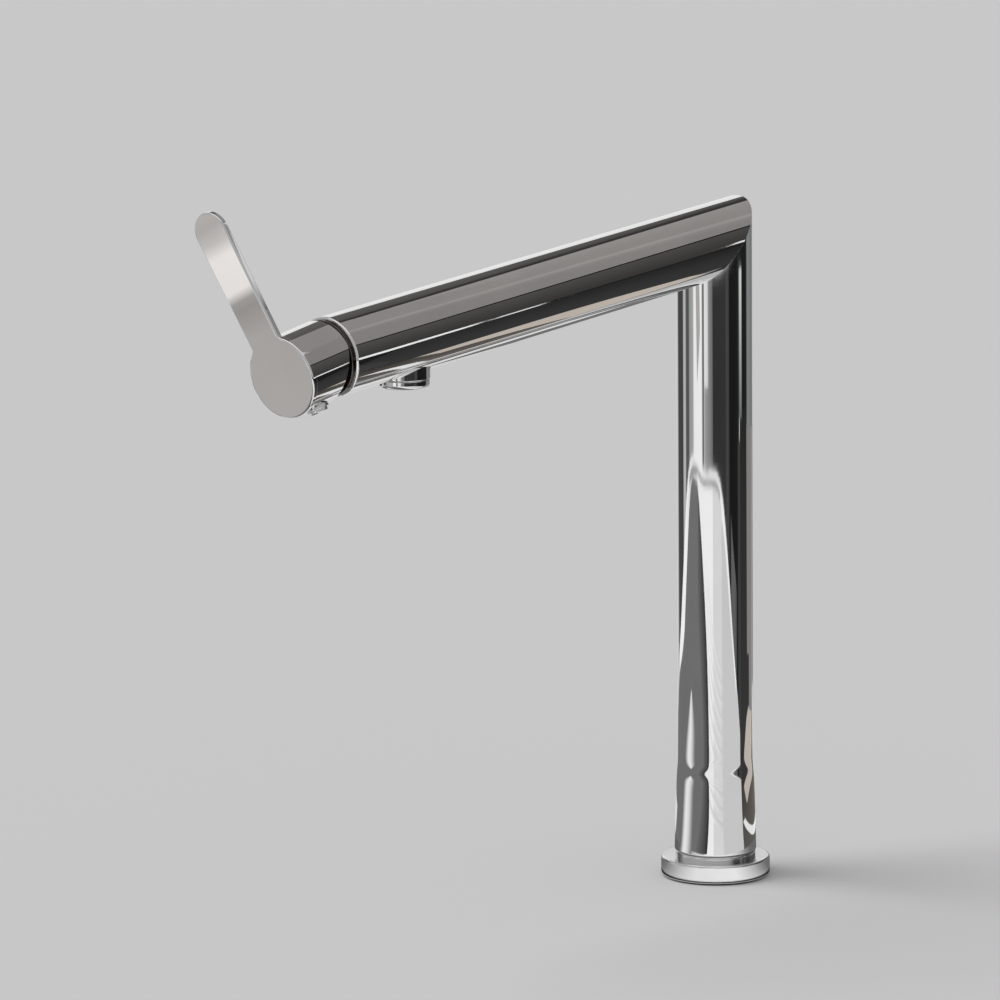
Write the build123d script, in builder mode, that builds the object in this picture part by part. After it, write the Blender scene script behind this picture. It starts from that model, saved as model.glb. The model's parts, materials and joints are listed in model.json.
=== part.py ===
"""Single-lever kitchen mixer tap: a swivelling column, a mitred arm and a lever on the arm's end.

The origin is the middle of the tap hole, on top of the deck that the tap stands on.
+Z is up and the arm points along -Y. All lengths are in millimetres, all angles in degrees.
"""
import os
from math import asin, cos, degrees, radians, sin, tan

from build123d import *

os.makedirs("parts", exist_ok=True)

# Overall sizes
tube_diameter = 38.0      # column and arm are the same round tube
tube_wall = 1.5
axis_height = 322.3       # where the arm's centre line meets the column's
arm_slope = 5.1           # how far the arm falls below the level
arm_length = 281.4        # from the column's centre line to the arm's front rim
arm_rim_round = 1.1

# Clearances
bond_gap = 0.05           # around pieces that are soldered, screwed or pressed together
running_gap = 0.3         # between pieces that move past each other
bearing_gap = 0.08        # between a plastic bearing and the metal it turns on

# Foot of the column
sleeve_diameter = 41.2    # the column widens to this over its foot
sleeve_top = 51.6
flare_length = 15.2
sleeve_edge = 0.4

# Base flange, its bead and the spigot that the column turns on
flange_diameter = 54.8
flange_top = 10.0
flange_edge = 1.1
flange_foot_edge = 0.4
bead_diameter = 40.4
bead_height = 2.9
bead_round = 1.3
spigot_diameter = 30.0
spigot_height = 31.1
hose_passage = 24.0

# Gasket under the flange
gasket_thickness = 2.0
gasket_proud = 0.8
gasket_width = 7.6
gasket_inner_diameter = 36.0

# Shank and fixings under the deck
deck_thickness = 5.0      # pressed steel with its stiffening plate
shank_diameter = 33.0
shank_wall = 3.0
shank_length = 50.0       # below the deck's top
shank_engagement = 8.0
shank_chamfer = 1.0
washer_diameter = 54.0
seal_washer_thickness = 2.5
clamp_washer_thickness = 1.5
nut_across_flats = 50.0
nut_height = 9.5
nut_corner_angle = 30.0   # the nut's lower corners are turned off at this angle
nut_standoff = 1.5
jack_screw_count = 3
jack_screw_diameter = 5.0
jack_screw_length = 16.0
jack_screw_circle = 42.0
jack_screw_key = 2.5
jack_key_depth = 2.5

# Swivel bearing
swivel_range = 70.0       # to each side
foot_height = 25.5
foot_bore_play = 0.6
glide_wall = 1.5
glide_length = 8.0
thrust_thickness = 1.5
thrust_width = 3.4
clip_thickness = 1.5
clip_width = 2.95
clip_groove_depth = 1.0
clip_opening = 9.0
stop_pin_diameter = 3.0
stop_pin_height = 14.6    # above the bead
stop_pin_proud = 2.3
stop_pin_depth = 1.8
stop_play = 0.8           # degrees left at each end of the swivel

# Inlet manifold and the two pipes
manifold_bottom = 68.8
manifold_height = 16.0
port_spacing = 13.0
port_diameter = 10.0      # M10x1 hose tails
port_depth = 10.0
pipe_diameter = 8.0
pipe_wall = 1.0
pipe_bend_radius = 24.0
pipe_socket_depth = 5.0
pipe_raise = 4.5          # how far the pipes and the inlet ports lie above the arm's centre line

# Valve body
body_length = 69.4
cartridge_diameter = 28.0
cartridge_depth = 32.4    # from the arm's rim to the floor under the cartridge
mouth_depth = 5.4
mouth_diameter = 30.0
outlet_port_drop = 7.5
outlet_port_diameter = 6.4
chamber_diameter = 16.0
chamber_height = 7.5

# Outlet and aerator
outlet_setback = 52.5     # how far the outlet lies behind the arm's front rim
outlet_proud = 5.9        # how far the aerator stands below the arm
boss_diameter = 24.4
boss_water_way = 13.0
boss_edge = 0.4
aerator_diameter = 23.8
aerator_flange_height = 4.1
aerator_edge = 2.0
aerator_thread_diameter = 21.8
aerator_thread_height = 5.7
aerator_bore = 19.0
aerator_lip_bore = 17.2
aerator_lip_height = 1.0
insert_height = 7.6
insert_hole = 2.3
insert_hole_spacing = 3.4
insert_ring_count = 2
aerator_washer_thickness = 1.5
aerator_washer_bore = 15.0

# Neck ring and clamp nut at the arm's end
neck_diameter = 36.4
neck_length = 2.6
neck_round = 0.5
clamp_nut_across_flats = 27.0
clamp_nut_head = 5.0
clamp_nut_bore = 21.2

# Cartridge
pivot_setback = 3.0       # the lever's pivot pin lies this far behind the arm's rim
seal_thickness = 1.2
seal_width = 1.1
seal_squeeze = 0.4        # how much of a seal stands out of its recess
base_thickness = 4.45
port_hole = 6.0
outlet_hole = 7.2
fixed_disc_diameter = 24.8
fixed_disc_thickness = 3.4
kidney_width = 4.4
kidney_span = 36.0
outlet_kidney_width = 5.0
outlet_kidney_span = 50.0
moving_disc_diameter = 18.8
moving_disc_thickness = 3.5
disc_offset = -1.6        # where the moving disc's centre rests, along the lever
pocket_depth = 1.8
pocket_width = 9.0
pocket_length = 13.6
carrier_diameter = 19.6
carrier_flats = 16.0
carrier_height = 7.0
housing_wall = 1.1
housing_neck_diameter = 20.6
housing_neck_height = 11.0
housing_setback = 4.9     # the housing's shoulder lies this far behind the arm's rim
rotor_neck_diameter = 18.4
rotor_plate_height = 4.9
rotor_neck_height = 16.3
rotor_slot_length = 15.4
rotor_seal_section = 1.3
turn_range = 45.0         # of the lever, to each side of upright
turn_play = 0.8           # degrees left at each end of the turn
stop_lug_height = 1.4
stop_lug_width = 1.9
stop_lug_angle = 36.0
peg_diameter = 3.0        # two pegs keep the cartridge from turning in its cavity
peg_length = 2.0
peg_spacing = 21.0
peg_drop = 4.5
pivot_pin_diameter = 3.5
pivot_pin_length = 17.2

# Lever, as it stands in the photograph: shut, and turned away from upright
lever_turn = 25.8
closed_tilt = 4.9
stem_side = 6.0
stem_top = 29.0           # lengths along the lever's axis start at the pivot
stem_foot = 7.0
ball_diameter = 5.6
ball_distance = 12.5
ball_neck_diameter = 4.0
cap_diameter = 38.0
cap_wall = 1.6
cap_front = 32.8
cap_front_wall = 2.0
cap_rim = 6.4             # where the cap's rear rim lies on the blade's side
rim_relief = 22.0         # on the other side the rim is cut back at this angle, to free the lift
rim_blend = 12.0
cap_rim_edge = 0.3
hub_diameter = 13.0
hub_bottom = 15.2
plate_thickness = 3.1
disc_diameter = 38.6
blade_length = 83.7       # from the disc's centre to the tip
blade_root_width = 18.5
blade_tip_width = 19.6
blade_corner = 2.0
plate_front_edge = 0.9
plate_back_edge = 0.4
plate_boss_diameter = 10.0
plate_boss_height = 1.5
grub_position = 23.2
grub_diameter = 5.0
grub_length = 8.0
grub_key = 2.5
grub_key_depth = 2.0
plug_hole = 6.6
plug_diameter = 10.6
plug_flange = 1.2
plug_flange_edge = 0.4
plug_head_diameter = 8.4
plug_head = 1.5
plug_edge = 0.7

# Radii and heights worked out from the sizes above
tube_radius = tube_diameter / 2
tube_bore = tube_radius - tube_wall
sleeve_radius = sleeve_diameter / 2
sleeve_bore = sleeve_radius - tube_wall
flare_top = sleeve_top + flare_length
bead_top = flange_top + bead_height
column_bottom = bead_top + running_gap
spigot_radius = spigot_diameter / 2
spigot_top = bead_top + spigot_height

# Directions and planes of the arm
arm_start = Vector(0, 0, axis_height)
arm_direction = Vector(0, -cos(radians(arm_slope)), -sin(radians(arm_slope)))
arm_axis = Axis(arm_start, arm_direction)
across = Vector(1, 0, 0)
mitre_plane = Plane(origin=arm_start, x_dir=across, z_dir=arm_direction + Vector(0, 0, 1))
arm_profile = Plane(origin=arm_start, x_dir=across, z_dir=across.cross(arm_direction))


def across_arm(distance):
    """The plane square to the arm, this far from the column: X across, Y upward, Z outward."""
    return Plane(origin=arm_start + arm_direction * distance, x_dir=across, z_dir=arm_direction)


# Directions and planes of the lever: it turns about the arm's axis and tilts about its pivot pin
pivot_distance = arm_length - pivot_setback
pivot_point = arm_start + arm_direction * pivot_distance
pin_direction = across.rotate(Axis((0, 0, 0), arm_direction), lever_turn)
lever_direction = arm_direction.rotate(Axis((0, 0, 0), pin_direction), closed_tilt)
lever_axis = Axis(pivot_point, lever_direction)


def across_rotor(distance):
    """As across_arm, but turned with the lever: X along the pivot pin, Y towards the blade."""
    return Plane(
        origin=arm_start + arm_direction * distance, x_dir=pin_direction, z_dir=arm_direction
    )


def across_lever(distance):
    """The plane square to the lever's own axis, this far out from the pivot: Y along the blade."""
    return Plane(
        origin=pivot_point + lever_direction * distance, x_dir=pin_direction, z_dir=lever_direction
    )


blade_direction = across_lever(0).y_dir
rotor_profile = Plane(
    origin=arm_start, x_dir=pin_direction, z_dir=pin_direction.cross(arm_direction)
)


# Base flange: a turned disc with its bead, and the spigot that the column turns on
socket_radius = shank_diameter / 2 + bond_gap
socket_top = gasket_proud + shank_engagement + bond_gap
foot_bottom = bead_top + thrust_thickness + 2 * bond_gap
foot_top = foot_bottom + foot_height
groove_base = foot_top + running_gap - bond_gap
groove_radius = spigot_radius - clip_groove_depth
pin_height = bead_top + stop_pin_height

with BuildPart() as base_flange:
    with BuildSketch(Plane.XY.offset(gasket_proud)):
        Circle(flange_diameter / 2)
    extrude(amount=flange_top - gasket_proud)
    fillet(base_flange.edges().group_by(Axis.Z)[-1], flange_edge)
    fillet(base_flange.edges().group_by(Axis.Z)[0], flange_foot_edge)
    with BuildSketch(Plane.XY.offset(flange_top)):
        Circle(bead_diameter / 2)
    extrude(amount=bead_height)
    fillet(base_flange.edges().group_by(Axis.Z)[-1], bead_round)
    with BuildSketch(Plane.XY.offset(bead_top)):
        Circle(spigot_radius)
    extrude(amount=spigot_height)
    with BuildSketch(Plane.XY.offset(groove_base)):
        Circle(spigot_radius)
        Circle(groove_radius, mode=Mode.SUBTRACT)
    extrude(amount=clip_thickness + 2 * bond_gap, mode=Mode.SUBTRACT)
    with BuildSketch(Plane.XY.offset(gasket_proud)):
        Circle(gasket_inner_diameter / 2 + gasket_width + running_gap)
        Circle(gasket_inner_diameter / 2 - running_gap, mode=Mode.SUBTRACT)
    extrude(amount=gasket_thickness - gasket_proud, mode=Mode.SUBTRACT)
    with BuildSketch(Plane.XY.offset(gasket_proud)):
        Circle(socket_radius)
    extrude(amount=socket_top - gasket_proud, mode=Mode.SUBTRACT)
    with BuildSketch(Plane.XY.offset(gasket_proud)):
        Circle(hose_passage / 2)
    extrude(amount=spigot_top - gasket_proud, mode=Mode.SUBTRACT)
    with BuildSketch(Plane.XZ.offset(-spigot_radius)):
        with Locations((0, pin_height)):
            Circle(stop_pin_diameter / 2 + bond_gap)
    extrude(amount=stop_pin_depth + bond_gap, mode=Mode.SUBTRACT)

# Gasket: a flat rubber ring that stands a little out of its recess
with BuildPart() as base_gasket:
    with BuildSketch(Plane.XY):
        Circle(gasket_inner_diameter / 2 + gasket_width)
        Circle(gasket_inner_diameter / 2, mode=Mode.SUBTRACT)
    extrude(amount=gasket_thickness)

# Shank: a hollow threaded tube that goes down through the tap hole
with BuildPart() as threaded_shank:
    with BuildSketch(Plane.XY.offset(-shank_length)):
        Circle(shank_diameter / 2)
        Circle(shank_diameter / 2 - shank_wall, mode=Mode.SUBTRACT)
    extrude(amount=shank_length + gasket_proud + shank_engagement)
    chamfer(threaded_shank.edges().group_by(Axis.Z)[0].sort_by(SortBy.RADIUS)[-1], shank_chamfer)

# Washers and nut that clamp the deck from below
deck_underside = -deck_thickness
seal_washer_bottom = deck_underside - seal_washer_thickness
clamp_washer_bottom = seal_washer_bottom - clamp_washer_thickness
nut_top = clamp_washer_bottom - nut_standoff
nut_bottom = nut_top - nut_height
nut_flat_radius = nut_across_flats / 2
nut_corner_radius = nut_flat_radius / cos(radians(30))
nut_corner_height = (nut_corner_radius - nut_flat_radius) * tan(radians(nut_corner_angle))

with BuildPart() as deck_seal_washer:
    with BuildSketch(Plane.XY.offset(seal_washer_bottom)):
        Circle(washer_diameter / 2)
        Circle(shank_diameter / 2 + running_gap, mode=Mode.SUBTRACT)
    extrude(amount=seal_washer_thickness)

with BuildPart() as clamp_washer:
    with BuildSketch(Plane.XY.offset(clamp_washer_bottom)):
        Circle(washer_diameter / 2)
        Circle(shank_diameter / 2 + running_gap, mode=Mode.SUBTRACT)
    extrude(amount=clamp_washer_thickness)

with BuildPart() as fixing_nut:
    with BuildSketch(Plane.XY.offset(nut_bottom)):
        RegularPolygon(nut_flat_radius, 6, major_radius=False)
        Circle(shank_diameter / 2 + bond_gap, mode=Mode.SUBTRACT)
        with PolarLocations(jack_screw_circle / 2, jack_screw_count, start_angle=30):
            Circle(jack_screw_diameter / 2 + bond_gap, mode=Mode.SUBTRACT)
    extrude(amount=nut_height)
    with BuildSketch(Plane.XZ):
        with BuildLine():
            Polyline(
                (0, nut_bottom),
                (nut_flat_radius, nut_bottom),
                (nut_corner_radius, nut_bottom + nut_corner_height),
                (nut_corner_radius, nut_top),
                (0, nut_top),
                close=True,
            )
        make_face()
    revolve(axis=Axis.Z, mode=Mode.INTERSECT)

with BuildPart() as jack_screws:
    with BuildSketch(Plane.XY.offset(clamp_washer_bottom)):
        with PolarLocations(jack_screw_circle / 2, jack_screw_count, start_angle=30):
            Circle(jack_screw_diameter / 2)
    extrude(amount=-jack_screw_length)
    with BuildSketch(Plane.XY.offset(clamp_washer_bottom - jack_screw_length)):
        with PolarLocations(jack_screw_circle / 2, jack_screw_count, start_angle=30):
            RegularPolygon(jack_screw_key / 2, 6, major_radius=False)
    extrude(amount=jack_key_depth, mode=Mode.SUBTRACT)

# Retaining clip: a split spring ring that snaps into the spigot's groove over the foot
with BuildPart() as retaining_clip:
    with BuildSketch(Plane.XY.offset(groove_base + bond_gap)):
        Circle(groove_radius + bond_gap + clip_width)
        Circle(groove_radius + bond_gap, mode=Mode.SUBTRACT)
        with Locations((0, -spigot_radius)):
            Rectangle(clip_opening, spigot_radius, mode=Mode.SUBTRACT)
    extrude(amount=clip_thickness)

# Stop pin: set in the back of the spigot, it runs in a slot of the foot and ends the swivel
with BuildPart() as swivel_stop_pin:
    with BuildSketch(Plane.XZ.offset(-spigot_radius - stop_pin_proud)):
        with Locations((0, pin_height)):
            Circle(stop_pin_diameter / 2)
    extrude(amount=stop_pin_proud + stop_pin_depth)

# Column: one tube, flared at its foot and mitred at its top
with BuildPart() as column_tube:
    with BuildSketch(Plane.XZ):
        with BuildLine():
            Polyline((tube_radius, flare_top), (tube_radius, axis_height + tube_diameter),
                     (tube_bore, axis_height + tube_diameter), (tube_bore, flare_top))
            Spline((tube_bore, flare_top), (sleeve_bore, sleeve_top),
                   tangents=((0, -1), (0, -1)))
            Polyline((sleeve_bore, sleeve_top), (sleeve_bore, column_bottom),
                     (sleeve_radius, column_bottom), (sleeve_radius, sleeve_top))
            Spline((sleeve_radius, sleeve_top), (tube_radius, flare_top),
                   tangents=((0, 1), (0, 1)))
        make_face()
    revolve(axis=Axis.Z)
    split(bisect_by=mitre_plane, keep=Keep.BOTTOM)
    fillet(column_tube.edges().group_by(Axis.Z)[0].sort_by(SortBy.RADIUS)[-1], sleeve_edge)

# Arm: the same tube, mitred to the column, with a hole underneath for the outlet
outlet_distance = arm_length - outlet_setback
outlet_reach = outlet_distance * cos(radians(arm_slope))
outlet_height = axis_height - outlet_distance * sin(radians(arm_slope))
outlet_bottom = outlet_height - tube_radius / cos(radians(arm_slope)) - outlet_proud
outlet_plane = Plane((0, -outlet_reach, outlet_bottom))
outlet_profile = Plane.XZ.offset(outlet_reach)
outlet_axis = Axis((0, -outlet_reach, 0), (0, 0, 1))

with BuildPart() as arm_tube:
    with BuildSketch(across_arm(-tube_diameter)):
        Circle(tube_radius)
        Circle(tube_bore, mode=Mode.SUBTRACT)
    extrude(amount=tube_diameter + arm_length)
    split(bisect_by=mitre_plane, keep=Keep.TOP)
    rim = arm_tube.faces().sort_by(arm_axis)[-1]
    fillet(rim.edges().sort_by(SortBy.RADIUS)[-1], arm_rim_round)
    with BuildSketch(outlet_plane):
        Circle(boss_diameter / 2 + running_gap)
    extrude(amount=outlet_height - outlet_bottom, mode=Mode.SUBTRACT)

# Swivel foot: a brass insert soldered in the sleeve, which carries the two glide rings
foot_outer = sleeve_bore - bond_gap
foot_bore = spigot_radius + foot_bore_play
glide_bore = spigot_radius + bearing_gap
glide_outer = glide_bore + glide_wall
glide_seat = glide_outer + bond_gap
slot_half_width = stop_pin_diameter / 2 + running_gap
slot_outer = spigot_radius + stop_pin_proud + running_gap
slot_half_angle = swivel_range + stop_play + degrees(asin(stop_pin_diameter / 2 / spigot_radius))
slot_start = radians(90 - slot_half_angle)
slot_profile = Plane(
    origin=(0, 0, 0),
    x_dir=(cos(slot_start), sin(slot_start), 0),
    z_dir=(sin(slot_start), -cos(slot_start), 0),
)

with BuildPart() as swivel_foot:
    with BuildSketch(Plane.XZ):
        with BuildLine():
            Polyline(
                (foot_outer, foot_bottom),
                (foot_outer, foot_top),
                (glide_seat, foot_top),
                (glide_seat, foot_top - glide_length - bond_gap),
                (foot_bore, foot_top - glide_length - bond_gap),
                (foot_bore, foot_bottom + glide_length + bond_gap),
                (glide_seat, foot_bottom + glide_length + bond_gap),
                (glide_seat, foot_bottom),
                close=True,
            )
        make_face()
    revolve(axis=Axis.Z)
    with BuildSketch(slot_profile):
        with Locations(((foot_bore + slot_outer) / 2, pin_height)):
            Rectangle(slot_outer - foot_bore + bond_gap, 2 * slot_half_width)
    revolve(axis=Axis.Z, revolution_arc=2 * slot_half_angle, mode=Mode.SUBTRACT)

# Glide rings: the lower one has a flange that carries the column's weight
with BuildPart() as lower_glide_ring:
    with BuildSketch(Plane.XY.offset(bead_top + bond_gap)):
        Circle(glide_bore + thrust_width)
        Circle(glide_bore, mode=Mode.SUBTRACT)
    extrude(amount=thrust_thickness)
    with BuildSketch(Plane.XY.offset(bead_top + bond_gap)):
        Circle(glide_outer)
        Circle(glide_bore, mode=Mode.SUBTRACT)
    extrude(amount=thrust_thickness + glide_length)

with BuildPart() as upper_glide_ring:
    with BuildSketch(Plane.XY.offset(foot_top)):
        Circle(glide_outer)
        Circle(glide_bore, mode=Mode.SUBTRACT)
    extrude(amount=-glide_length)

# Inlet manifold: two threaded ports for the hoses below, two pipe sockets above
manifold_top = manifold_bottom + manifold_height

with BuildPart() as inlet_manifold:
    with BuildSketch(Plane.XY.offset(manifold_bottom)):
        Circle(tube_bore - bond_gap)
    extrude(amount=manifold_height)
    with BuildSketch(Plane.XY.offset(manifold_bottom)):
        with GridLocations(port_spacing, 0, 2, 1):
            Circle(port_diameter / 2)
    extrude(amount=port_depth, mode=Mode.SUBTRACT)
    with BuildSketch(Plane.XY.offset(manifold_bottom)):
        with GridLocations(port_spacing, 0, 2, 1):
            Circle(pipe_diameter / 2 - pipe_wall)
    extrude(amount=manifold_height, mode=Mode.SUBTRACT)
    with BuildSketch(Plane.XY.offset(manifold_top)):
        with GridLocations(port_spacing, 0, 2, 1):
            Circle(pipe_diameter / 2 + bond_gap)
    extrude(amount=-pipe_socket_depth, mode=Mode.SUBTRACT)

# Pipes: up the column, round the mitre in one bend and along the arm to the valve body
body_back = arm_length - body_length
pipe_rise = pipe_raise / cos(radians(arm_slope))
pipe_end = across_arm(body_back + pipe_socket_depth - bond_gap).origin


def pipe_route(side):
    """Corner points of one pipe's centre line, side is -1 for hot and 1 for cold."""
    offset = side * port_spacing / 2
    last = pipe_end + across_arm(0).y_dir * pipe_raise
    return [
        (offset, 0, manifold_top - pipe_socket_depth + bond_gap),
        (offset, 0, axis_height + pipe_rise),
        (offset, last.Y, last.Z),
    ]


with BuildPart() as hot_pipe:
    with BuildLine() as hot_route:
        FilletPolyline(pipe_route(-1), radius=pipe_bend_radius)
    with BuildSketch(Plane(origin=hot_route.line @ 0, z_dir=(0, 0, 1))):
        Circle(pipe_diameter / 2)
        Circle(pipe_diameter / 2 - pipe_wall, mode=Mode.SUBTRACT)
    sweep(path=hot_route.line)

with BuildPart() as cold_pipe:
    with BuildLine() as cold_route:
        FilletPolyline(pipe_route(1), radius=pipe_bend_radius)
    with BuildSketch(Plane(origin=cold_route.line @ 0, z_dir=(0, 0, 1))):
        Circle(pipe_diameter / 2)
        Circle(pipe_diameter / 2 - pipe_wall, mode=Mode.SUBTRACT)
    sweep(path=cold_route.line)

# Valve body: brass, with the cartridge's cavity in front and the outlet chamber below
cavity_floor = arm_length - cartridge_depth
cartridge_radius = cartridge_diameter / 2
mouth_start = arm_length - mouth_depth
port_reach = outlet_port_drop + outlet_port_diameter / 2
boss_top = outlet_height - port_reach - bond_gap

with BuildPart() as valve_body:
    with BuildSketch(across_arm(body_back)):
        Circle(tube_bore - bond_gap)
    extrude(amount=body_length)
    with BuildSketch(across_arm(cavity_floor)):
        Circle(cartridge_radius + 2 * bond_gap)
    extrude(amount=cartridge_depth, mode=Mode.SUBTRACT)
    with BuildSketch(across_arm(mouth_start)):
        Circle(mouth_diameter / 2)
    extrude(amount=mouth_depth, mode=Mode.SUBTRACT)
    with BuildSketch(across_arm(body_back)):
        with Locations((0, pipe_raise)):
            with GridLocations(port_spacing, 0, 2, 1):
                Circle(port_hole / 2)
    extrude(amount=cavity_floor - body_back, mode=Mode.SUBTRACT)
    with BuildSketch(across_arm(body_back)):
        with Locations((0, pipe_raise)):
            with GridLocations(port_spacing, 0, 2, 1):
                Circle(pipe_diameter / 2 + bond_gap)
    extrude(amount=pipe_socket_depth, mode=Mode.SUBTRACT)
    with BuildSketch(across_arm(outlet_distance)):
        with Locations((0, -outlet_port_drop)):
            Circle(outlet_port_diameter / 2)
    extrude(amount=cavity_floor - outlet_distance, mode=Mode.SUBTRACT)
    with BuildSketch(across_arm(cavity_floor)):
        with Locations((0, -peg_drop)):
            with GridLocations(peg_spacing, 0, 2, 1):
                Circle(peg_diameter / 2 + bond_gap)
    extrude(amount=-peg_length, mode=Mode.SUBTRACT)
    with BuildSketch(outlet_plane):
        Circle(boss_diameter / 2 + bond_gap)
    extrude(amount=boss_top + bond_gap - outlet_bottom, mode=Mode.SUBTRACT)
    with BuildSketch(outlet_plane):
        Circle(chamber_diameter / 2)
    extrude(amount=boss_top + chamber_height - outlet_bottom, mode=Mode.SUBTRACT)

# Outlet boss: a chromed bush screwed into the valve body through the arm's wall
housing_top = outlet_bottom + aerator_flange_height + aerator_thread_height
boss_bottom = outlet_bottom + aerator_flange_height + 2 * bond_gap
boss_bore = aerator_thread_diameter / 2 + 2 * bond_gap
boss_shoulder = housing_top + aerator_washer_thickness + 2 * bond_gap

with BuildPart() as outlet_boss:
    with BuildSketch(outlet_profile):
        with BuildLine():
            FilletPolyline(
                (boss_bore, boss_bottom),
                (boss_diameter / 2, boss_bottom),
                (boss_diameter / 2, boss_top),
                (boss_water_way / 2, boss_top),
                (boss_water_way / 2, boss_shoulder),
                (boss_bore, boss_shoulder),
                radius=[0, boss_edge, 0, 0, 0, 0],
                close=True,
            )
        make_face()
    revolve(axis=outlet_axis)

# Aerator: its screwed housing, the insert with its holes, and the washer above
lip_top = outlet_bottom + aerator_lip_height

with BuildPart() as aerator_housing:
    with BuildSketch(outlet_profile):
        with BuildLine():
            FilletPolyline(
                (aerator_lip_bore / 2, outlet_bottom),
                (aerator_diameter / 2, outlet_bottom),
                (aerator_diameter / 2, outlet_bottom + aerator_flange_height),
                (aerator_thread_diameter / 2, outlet_bottom + aerator_flange_height),
                (aerator_thread_diameter / 2, housing_top),
                (aerator_bore / 2, housing_top),
                (aerator_bore / 2, lip_top),
                (aerator_lip_bore / 2, lip_top),
                radius=[0, aerator_edge, boss_edge, 0, 0, 0, 0, 0],
                close=True,
            )
        make_face()
    revolve(axis=outlet_axis)

with BuildPart() as aerator_insert:
    with BuildSketch(Plane((0, -outlet_reach, lip_top + bond_gap))):
        Circle(aerator_bore / 2 - bond_gap)
        Circle(insert_hole / 2, mode=Mode.SUBTRACT)
        for ring in range(1, insert_ring_count + 1):
            with PolarLocations(ring * insert_hole_spacing, 6 * ring):
                Circle(insert_hole / 2, mode=Mode.SUBTRACT)
    extrude(amount=insert_height)

with BuildPart() as aerator_washer:
    with BuildSketch(Plane((0, -outlet_reach, housing_top + bond_gap))):
        Circle(boss_bore - bond_gap)
        Circle(aerator_washer_bore / 2, mode=Mode.SUBTRACT)
    extrude(amount=aerator_washer_thickness)

# Neck ring: the dark ring seen in the gap between the arm and the lever's cap
nut_corner = clamp_nut_across_flats / 2 / cos(radians(30))

with BuildPart() as neck_ring:
    with BuildSketch(arm_profile):
        with BuildLine():
            FilletPolyline(
                (nut_corner + running_gap, arm_length),
                (neck_diameter / 2, arm_length),
                (neck_diameter / 2, arm_length + neck_length),
                (nut_corner + running_gap, arm_length + neck_length),
                radius=[0, 0, neck_round, 0],
                close=True,
            )
        make_face()
    revolve(axis=arm_axis)

# Cartridge, from its seals outward: all of it drops into the valve body's cavity
shoulder_distance = arm_length - housing_setback
seal_start = cavity_floor + bond_gap
base_start = seal_start + seal_squeeze
base_end = base_start + base_thickness
port_seal_radius = port_hole / 2 + seal_width + bond_gap
outlet_seal_radius = outlet_hole / 2 + seal_width + bond_gap
seal_recess = seal_thickness - seal_squeeze + bond_gap

with BuildPart() as port_seals:
    with BuildSketch(across_arm(seal_start)):
        with Locations((0, pipe_raise)):
            with GridLocations(port_spacing, 0, 2, 1):
                Circle(port_seal_radius - bond_gap)
        with Locations((0, -outlet_port_drop)):
            Circle(outlet_seal_radius - bond_gap)
        with Locations((0, pipe_raise)):
            with GridLocations(port_spacing, 0, 2, 1):
                Circle(port_hole / 2, mode=Mode.SUBTRACT)
        with Locations((0, -outlet_port_drop)):
            Circle(outlet_hole / 2, mode=Mode.SUBTRACT)
    extrude(amount=seal_thickness)

with BuildPart() as cartridge_base:
    with BuildSketch(across_arm(base_start)):
        Circle(cartridge_radius)
    extrude(amount=base_thickness)
    with BuildSketch(across_arm(base_start)):
        with Locations((0, -peg_drop)):
            with GridLocations(peg_spacing, 0, 2, 1):
                Circle(peg_diameter / 2)
    extrude(amount=-peg_length)
    with BuildSketch(across_arm(base_start)):
        with Locations((0, pipe_raise)):
            with GridLocations(port_spacing, 0, 2, 1):
                Circle(port_hole / 2)
        with Locations((0, -outlet_port_drop)):
            Circle(outlet_hole / 2)
    extrude(amount=base_thickness, mode=Mode.SUBTRACT)
    with BuildSketch(across_arm(base_start)):
        with Locations((0, pipe_raise)):
            with GridLocations(port_spacing, 0, 2, 1):
                Circle(port_seal_radius)
        with Locations((0, -outlet_port_drop)):
            Circle(outlet_seal_radius)
    extrude(amount=seal_recess, mode=Mode.SUBTRACT)

# Fixed ceramic disc: two kidney ports for hot and cold, a wider one for the mixed water
port_circle = Vector(port_spacing / 2, pipe_raise)
port_angle = port_circle.get_angle(Vector(1, 0))
cold_kidney = CenterArc((0, 0), port_circle.length, port_angle - kidney_span / 2, kidney_span)
hot_kidney = CenterArc((0, 0), port_circle.length, 180 - port_angle - kidney_span / 2, kidney_span)
mixed_kidney = CenterArc(
    (0, 0), outlet_port_drop, -90 - outlet_kidney_span / 2, outlet_kidney_span
)
fixed_disc_end = base_end + fixed_disc_thickness

with BuildPart() as fixed_disc:
    with BuildSketch(across_arm(base_end)):
        Circle(fixed_disc_diameter / 2)
        SlotArc(cold_kidney, kidney_width, mode=Mode.SUBTRACT)
        SlotArc(hot_kidney, kidney_width, mode=Mode.SUBTRACT)
        SlotArc(mixed_kidney, outlet_kidney_width, mode=Mode.SUBTRACT)
    extrude(amount=fixed_disc_thickness)

# Moving ceramic disc: its blind pocket joins the ports as it slides and turns
moving_disc_start = fixed_disc_end + bond_gap
carrier_start = moving_disc_start + moving_disc_thickness

with BuildPart() as moving_disc:
    with BuildSketch(across_rotor(moving_disc_start)):
        with Locations((0, disc_offset)):
            Circle(moving_disc_diameter / 2)
    extrude(amount=moving_disc_thickness)
    with BuildSketch(across_rotor(moving_disc_start)):
        with Locations((0, disc_offset)):
            SlotOverall(pocket_length, pocket_width, rotation=90)
    extrude(amount=pocket_depth, mode=Mode.SUBTRACT)

# Disc carrier: held between the rotor's lugs, pushed by the spindle's ball
ball_radius = ball_diameter / 2
ball_rest = ball_distance * sin(radians(closed_tilt))
ball_height = pivot_distance - ball_distance * cos(radians(closed_tilt))
socket_floor = ball_height - ball_radius - running_gap
carrier_end = carrier_start + carrier_height

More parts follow.
